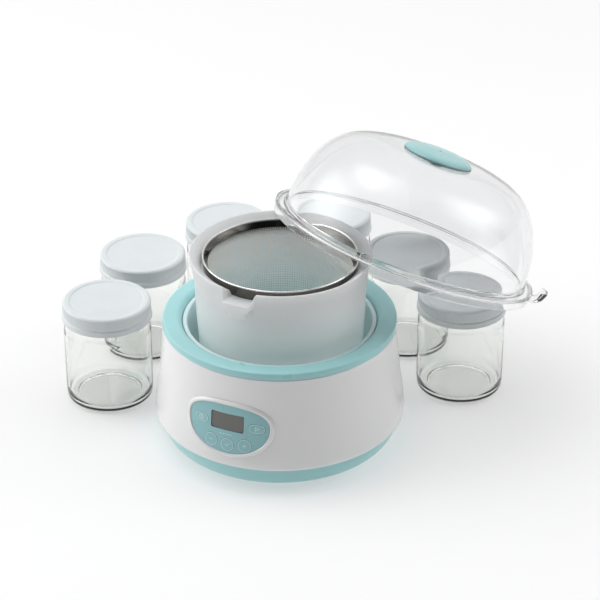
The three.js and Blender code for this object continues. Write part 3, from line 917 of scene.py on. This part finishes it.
def make_mesh(look):
    """Woven wire: level rings and upright wires round the wall, and a crossed grid over the floor."""
    wire = 0.225
    pitch = 1.9
    sides = 3
    shape = bmesh.new()
    samples = [bowl_at(i / 200) for i in range(201)]
    lengths = [0.0]
    for (r0, z0), (r1, z1) in zip(samples, samples[1:]):
        lengths.append(lengths[-1] + math.hypot(r1 - r0, z1 - z0))

    def along(length):
        i = next((k for k in range(1, len(lengths)) if lengths[k] >= length), len(lengths) - 1)
        t = (length - lengths[i - 1]) / (lengths[i] - lengths[i - 1])
        (r0, z0), (r1, z1) = samples[i - 1], samples[i]
        return r0 + (r1 - r0) * t, z0 + (z1 - z0) * t

    rings = int(lengths[-1] / pitch)
    for k in range(rings + 1):
        r, z = along(min(k * pitch, lengths[-1]))
        steps = max(48, int(r * 1.5))
        path = [Vector((r * math.cos(turn), r * math.sin(turn), z)) for turn in even_angles(steps)]
        tube(shape, path, wire, sides, closed=True)
    uprights = 2 * round(FULL * BOWL[0][0] / pitch / 2)
    stations = 16
    halfway = 0.82
    for i in range(uprights):
        turn = FULL * i / uprights
        end = 1.0 if i % 2 == 0 else halfway
        path = []
        for k in range(stations + 1):
            r, z = along(lengths[-1] * end * k / stations)
            r -= 1.6 * wire
            path.append(Vector((r * math.cos(turn), r * math.sin(turn), z)))
        tube(shape, path, wire, sides)
    floor_r, floor_z = BOWL[-1]
    sag = 1.4
    count = int(2 * floor_r / pitch)
    for axis in (0, 1):
        for i in range(1, count):
            across = -floor_r + 2 * floor_r * i / count
            reach = math.sqrt(max(floor_r**2 - across**2, 0))
            path = []
            for k in range(9):
                run = -reach + 2 * reach * k / 8
                dip = sag * (1 - (run * run + across * across) / floor_r**2)
                z = floor_z - dip + (axis * 2 - 1) * wire * 0.8
                path.append(Vector((run, across, z) if axis else (across, run, z)))
            tube(shape, path, wire, sides)
    dress(object_of("wire_mesh", shape, STRAINER_PLACE, 180), look, "strainer", "steel_mesh", "strainer_mesh")


# ---------------------------------------------------------------- lid


LID_R = 104.8
LID_WALL_R = 97.3
LID_HEIGHT = 71.6
LID_THICK = 2.4
LID_POWER = 2.5
TAB_HEADING = math.radians(-43)


def dome(wall_r, height, foot_z, count=44):
    """The dome's outline from its foot to its top, as a broad-shouldered curve."""
    points = []
    for i in range(count + 1):
        turn = math.pi / 2 * i / count
        r = wall_r * math.cos(turn) ** 0.75 if i < count else 0.0
        z = height * math.sqrt(max(1 - (r / wall_r) ** (2 * LID_POWER), 0))
        points.append((r, max(z, foot_z)))
    return points


def make_dome(look):
    outer = [p for p in dome(LID_WALL_R, LID_HEIGHT, 0) if p[1] > 5]
    inner = [p for p in dome(LID_WALL_R - LID_THICK, LID_HEIGHT - LID_THICK, 0) if p[1] > 3]
    hole_r = 4.4
    outer = [p for p in outer if p[0] > hole_r] + [(hole_r, LID_HEIGHT)]
    inner = [p for p in inner if p[0] > hole_r] + [(hole_r, LID_HEIGHT - LID_THICK)]
    flange = rounded([
        (LID_WALL_R - LID_THICK, -0.8, 0.8),
        (99.4, -1.3, 0.4),
        (102.9, -1.5, 0.4),
        (103.2, -7.2, 0.3),
        (104.3, -7.2, 0.3),
        (104.4, -2.5, 0.15),
        (105.2, -2.2, 0.25),
        (105.2, 0.35, 0.35),
        (103.7, 0.45, 0.3),
        (103.5, 0.0, 0.15),
        (98.9, 0.2, 0.35),
        (98.3, 2.9, 0.5),
        (97.2, 3.5, 0.3),
    ], 4)
    outline = list(reversed(inner)) + flange + outer
    shell = object_of("dome_shell", lathe(outline, 224), LID_PLACE, 50)
    reach = rounded([
        (LID_R - 1.2, -5.4), (LID_R + 4.6, -5.2, 3), (LID_R + 9.0, -2.8, 3), (LID_R + 11.5, 3.2, 1.2),
        (LID_R + 11.2, 4.6, 0.8), (LID_R + 10.0, 4.4, 0.8), (LID_R + 7.6, -1.0, 3), (LID_R + 4.2, -3.4, 3),
        (LID_R - 1.2, -3.6),
    ], 4)
    tab = bmesh.new()
    rows = []
    root = LID_R - 1.2
    half_wide = 10
    for i in range(17):
        y = half_wide * math.sin(math.pi * (i / 16 - 0.5))
        narrowed = 1 - 4.5 * (abs(y) / half_wide) ** 4 / 13.2
        rows.append([tab.verts.new((root + (r - root) * narrowed, y, z)) for r, z in reach])
    for near, far in zip(rows, rows[1:]):
        for k in range(len(near)):
            n = (k + 1) % len(near)
            tab.faces.new((near[k], near[n], far[n], far[k]))
    tab.faces.new(list(reversed(rows[0])))
    tab.faces.new(rows[-1])
    boolean(shell, object_of("tab", tab, LID_PLACE @ turned_by(TAB_HEADING), 50), "UNION")
    dress(shell, look, "lid", "clear_plastic", "lid_dome")


def make_knob(look, dark, steel, clear):
    low = LID_HEIGHT + 0.5
    cap = rounded([
        (0, low + 5.2), (0.7, low + 5.2, 0.1), (14, low + 4.8), (22.6, low + 4.0, 3), (26.0, low + 2.6, 1.2),
        (27.2, low + 1.0, 0.5), (26.9, low, 0.3), (4, low), (4, LID_HEIGHT - 4.8), (1.8, LID_HEIGHT - 4.8),
        (1.8, low + 1.5), (0, low + 1.5),
    ])
    dress(object_of("knob_cap", lathe(cap, 128), LID_PLACE), look, "lid", "aqua_plastic", "lid_knob")
    # a black disc stands in for the shade inside the vent hole, which is not cut through the knob
    vent_shade = rounded([(0, low + 5.1), (0.75, low + 5.1), (0.75, low + 5.35, 0.1), (0, low + 5.35)])
    dress(object_of("knob_vent_shade", lathe(vent_shade, 24), LID_PLACE), dark, "lid", "black_plastic")
    skirt = rounded([(22, low - 0.45), (27.3, low - 0.45, 0.15), (27.3, low - 0.05, 0.15), (22, low - 0.05)])
    dress(object_of("knob_gasket", lathe(skirt, 128), LID_PLACE), clear, "lid", "clear_plastic")
    head, under = LID_HEIGHT - 5.1, LID_HEIGHT - 2.75
    washer = rounded([(4.3, head + 0.3, 0.2), (8, head + 0.3, 0.4), (8, under, 0.3), (4.3, under, 0.2)])
    spacer = object_of("knob_spacer", lathe(washer, 48), LID_PLACE)
    dress(spacer, clear, "lid", "clear_plastic", "knob_washer")
    screw = rounded([
        (0, head - 1.2), (1.2, head - 1.2), (1.6, head - 2.2, 0.2), (4.2, head - 2.2, 0.5),
        (5.5, head - 1.4, 0.4), (5.5, head, 0.2), (1.5, head), (1.5, low + 0.9), (0, low + 0.9),
    ])
    dress(object_of("knob_bolt", lathe(screw, 40), LID_PLACE), steel, "lid", "steel", "knob_screw")


# ---------------------------------------------------------------- jars


JAR_TALL = top_of("jar_cap_a")
CAP_LOW = low_of("jar_cap_a")


def jar_mesh(look):
    mouth = JAR_TALL - 2.4
    outline = rounded([
        (0, 1.2), (22, 1.0, 3), (25.6, 0.2, 1.0), (28.5, 0, 2.5), (33.4, 2.2, 7), (34, 9, 4), (34, 61, 2.5),
        (32.4, 66, 1.6), (32.3, 68.8, 0.5), (32.9, 69.4, 0.5), (32.9, 70.4, 0.5), (32.2, 71.1, 0.4),
        (32.2, mouth, 0.7), (30.9, mouth, 0.7), (30.9, 66, 1.5), (32.4, 61, 2), (32.4, 9.5, 6),
        (30.2, 3.6, 4), (25.6, 4.6, 0.3), (24.6, 3.4, 0.4), (0, 3.9),
    ])
    made = object_of("jar_shape", lathe(outline, 112), Matrix.Identity(4), 50)
    made.data.materials.append(look)
    return made


def cap_mesh(look):
    """The screw cap: a sunk disc, a raised ring, a knurled wall, and a rolled lower edge."""
    inner = JAR_TALL - 2
    plain = rounded([
        (0, JAR_TALL - 0.75), (20, JAR_TALL - 0.75), (28.3, JAR_TALL - 0.75, 0.9),
        (29.4, JAR_TALL - 0.05, 0.7), (32.9, JAR_TALL, 1.3), (34.2, JAR_TALL - 1.4, 0.9),
        (34.3, JAR_TALL - 2.4), (34.3, JAR_TALL - 6.4), (34.3, CAP_LOW + 6.4, 0.6),
        (33.9, CAP_LOW + 5.6, 0.5), (33.9, CAP_LOW + 5.0, 0.5), (34.9, CAP_LOW + 4.0, 0.8),
        (34.9, CAP_LOW + 1.6, 0.5), (35.1, CAP_LOW + 1.2, 0.4), (35.1, CAP_LOW + 0.2, 0.5),
        (34.2, CAP_LOW, 0.4), (33.5, CAP_LOW + 0.9, 0.3), (33.5, inner, 0.3), (0, inner),
    ])
    knurls = 110
    depth = 0.42

    def outline_at(angle):
        ridge = depth * (0.5 + 0.5 * math.cos(angle * knurls))
        return [(r - (ridge if JAR_TALL - 6.6 < z < JAR_TALL - 2.2 and r > 34.2 else 0), z) for r, z in plain]

    made = object_of("cap_shape", turned(outline_at, even_angles(knurls * 4)), Matrix.Identity(4), 50)
    made.data.materials.append(look)
    return made


def make_jars(glass, enamel):
    jar = jar_mesh(glass)
    cap = cap_mesh(enamel)
    for letter in "abcdef":
        place = Matrix.Translation(middle(f"jar_glass_{letter}").to_2d().to_3d())
        for master, name, body, slot_name, node in (
            (jar, f"jar_{letter}", f"jar_{letter}", "jar_glass", f"jar_glass_{letter}"),
            (cap, f"cap_{letter}", f"cap_{letter}", "cap_enamel", f"jar_cap_{letter}"),
        ):
            copy = bpy.data.objects.new(name, master.data)
            copy.matrix_world = place
            bpy.context.scene.collection.objects.link(copy)
            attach(copy, body)
            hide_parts(node)
    bpy.data.objects.remove(jar)
    bpy.data.objects.remove(cap)


# ---------------------------------------------------------------- inner pieces


def dress_inner(looks):
    """The sealed pieces keep their CAD shape and get real materials."""
    for node, look in looks.items():
        cad = frame["nodes"][node]
        if cad.material_slots:
            for held in cad.material_slots:
                held.material = look
        else:
            cad.data.materials.append(look)


# ---------------------------------------------------------------- stage


def make_floor():
    shape = bmesh.new()
    half = 6000
    bmesh.ops.create_grid(shape, x_segments=1, y_segments=1, size=half)
    floor = object_of("floor", shape, Matrix.Translation((AXIS.x, AXIS.y, CAD_BOX[0].z - 0.0001)))
    look = Look("floor_paper")
    look.colours(look.noise(2, 2), (0.50, 0.50, 0.50), (0.505, 0.505, 0.505))
    look.set(Roughness=0.9, Specular_IOR_Level=0.1, Emission_Color=(1, 1, 1, 1), Emission_Strength=0.44)
    floor.data.materials.append(look.material)


def make_light(name, spot, aim, wide, tall, watts, edge=0.5):
    """A softbox whose glow fades towards its edges."""
    lamp = bpy.data.lights.new(name, "AREA")
    lamp.shape = "RECTANGLE"
    lamp.size, lamp.size_y = wide, tall
    lamp.energy = watts
    lamp.use_nodes = True
    tree = lamp.node_tree
    parts = tree.nodes.new("ShaderNodeSeparateXYZ")
    tree.links.new(tree.nodes.new("ShaderNodeNewGeometry").outputs["Parametric"], parts.inputs["Vector"])
    glow = tree.nodes.new("ShaderNodeMath")
    glow.operation = "MULTIPLY"
    for i, side in enumerate("XY"):
        from_edge = tree.nodes.new("ShaderNodeMath")
        from_edge.operation = "PINGPONG"
        from_edge.inputs[1].default_value = 0.5
        fade = tree.nodes.new("ShaderNodeMapRange")
        fade.interpolation_type = "SMOOTHSTEP"
        fade.inputs["From Max"].default_value = edge
        tree.links.new(parts.outputs[side], from_edge.inputs[0])
        tree.links.new(from_edge.outputs[0], fade.inputs["Value"])
        tree.links.new(fade.outputs["Result"], glow.inputs[i])
    tree.links.new(glow.outputs[0], tree.nodes["Emission"].inputs["Strength"])
    holder = bpy.data.objects.new(name, lamp)
    holder.location = AXIS + Vector(spot)
    toward = AXIS + Vector(aim) - holder.location
    holder.rotation_euler = toward.to_track_quat("-Z", "Y").to_euler()
    bpy.context.scene.collection.objects.link(holder)


def make_world():
    """A studio that is dark behind the camera and pale behind and above the object."""
    world = bpy.data.worlds.new("studio")
    world.use_nodes = True
    bpy.context.scene.world = world
    tree = world.node_tree
    where = tree.nodes.new("ShaderNodeTexCoord")
    slope = tree.nodes.new("ShaderNodeVectorMath")
    slope.operation = "DOT_PRODUCT"
    slope.inputs[1].default_value = Vector((-0.25, 0.9, 0.36)).normalized()
    reach = tree.nodes.new("ShaderNodeMapRange")
    reach.inputs["From Min"].default_value = -1
    ramp = tree.nodes.new("ShaderNodeValToRGB")
    tree.links.new(where.outputs["Generated"], slope.inputs[0])
    tree.links.new(slope.outputs["Value"], reach.inputs["Value"])
    tree.links.new(reach.outputs["Result"], ramp.inputs["Fac"])
    ramp.color_ramp.interpolation = "EASE"
    ramp.color_ramp.elements[0].color = (0.03, 0.03, 0.032, 1)
    ramp.color_ramp.elements[0].position = 0.34
    ramp.color_ramp.elements[1].color = (0.85, 0.85, 0.85, 1)
    ramp.color_ramp.elements[1].position = 0.68
    tree.links.new(ramp.outputs["Color"], tree.nodes["Background"].inputs["Color"])
    tree.nodes["Background"].inputs["Strength"].default_value = 1.0


def make_camera():
    camera = bpy.data.cameras.new("camera")
    camera.sensor_width = 36
    camera.lens = 142.914
    camera.clip_end = 100
    holder = bpy.data.objects.new("camera", camera)
    holder.location = AXIS + Vector((15.25, -1556.1, 987.1)) * MM
    holder.rotation_euler = (math.radians(60.652), 0, 0)
    bpy.context.scene.collection.objects.link(holder)
    bpy.context.scene.camera = holder


def make_stage():
    make_floor()
    make_world()
    make_light("key_left", (-1.7, 0.25, 0.95), (0, 0, 0.05), 2.9, 2.4, 66)
    make_light("top_back", (-0.5, 0.35, 1.85), (0, 0, 0.05), 2.3, 1.9, 42)
    make_light("fill_right", (1.6, 0.05, 1.2), (0, 0, 0.05), 2.4, 2.2, 46)
    scene = bpy.context.scene
    scene.view_settings.view_transform = "Standard"
    scene.cycles.max_bounces = 24
    scene.cycles.transmission_bounces = 24
    scene.cycles.transparent_max_bounces = 24


def make_object():
    aqua, white, panel, ink = aqua_look(), white_look(), panel_look(), print_look()
    knob = moulded("knob_plastic", toned(AQUA, 0.84), 0.3, texture=0.015, coat=0.15).material
    frosted, well = frosted_look(), well_look()
    plastic = clear_look("clear_lid_plastic", (0.94, 0.945, 0.95), 0.02, 1.46, 0.12)
    glass = clear_look("jar_glass", (0.972, 0.985, 0.970), 0.008, 1.5, 0.10)
    enamel = enamel_look()
    # painted shade and highlight: the hoop's steel is darkened far below steel's own colour, and the bead's
    # steel below is a bright copy of it
    hoop = steel_look("hoop_steel", (0.13, 0.125, 0.115), 0.1, (1, 1, 14))
    bead_highlight = steel_look("bead_highlight_steel", (0.86, 0.85, 0.83), 0.16, (1, 1, 1))
    steel = steel_look("screw_steel", (0.5, 0.5, 0.5), 0.3, (3, 3, 3))
    aluminium = steel_look("cast_aluminium", (0.7, 0.71, 0.73), 0.4, (2, 2, 2))
    dark = moulded("black_plastic", (0.02, 0.02, 0.02), 0.35, varied=0.2).material
    amber = moulded("capacitor_plastic", (0.5, 0.34, 0.06), 0.4).material
    rubber, board, window = rubber_look(), board_look(), window_look()

    make_housing(white)
    make_rim(aqua)
    make_tray(aqua)
    make_well(well)
    make_feet(rubber)
    make_screws(steel)
    make_gland(rubber)
    make_bezel(white)
    make_film(panel)
    make_window(window, dark)
    make_keys(panel, ink)
    make_tub(frosted)
    make_hoop(hoop, bead_highlight)
    make_mesh(wire_look())
    make_dome(plastic)
    make_knob(knob, dark, steel, plastic)
    make_jars(glass, enamel)
    inner = {"heater_plate": aluminium, "heating_element": aluminium, "element_clamp": steel,
             "temperature_sensor": steel, "thermal_fuse": steel, "power_board": board, "control_board": board,
             "power_relay": dark, "mains_capacitor": amber, "lcd_module": dark}
    inner.update({name.replace("key_", "switch_"): dark for name in KEYS})
    dress_inner(inner)


make_camera()
make_object()
make_stage()
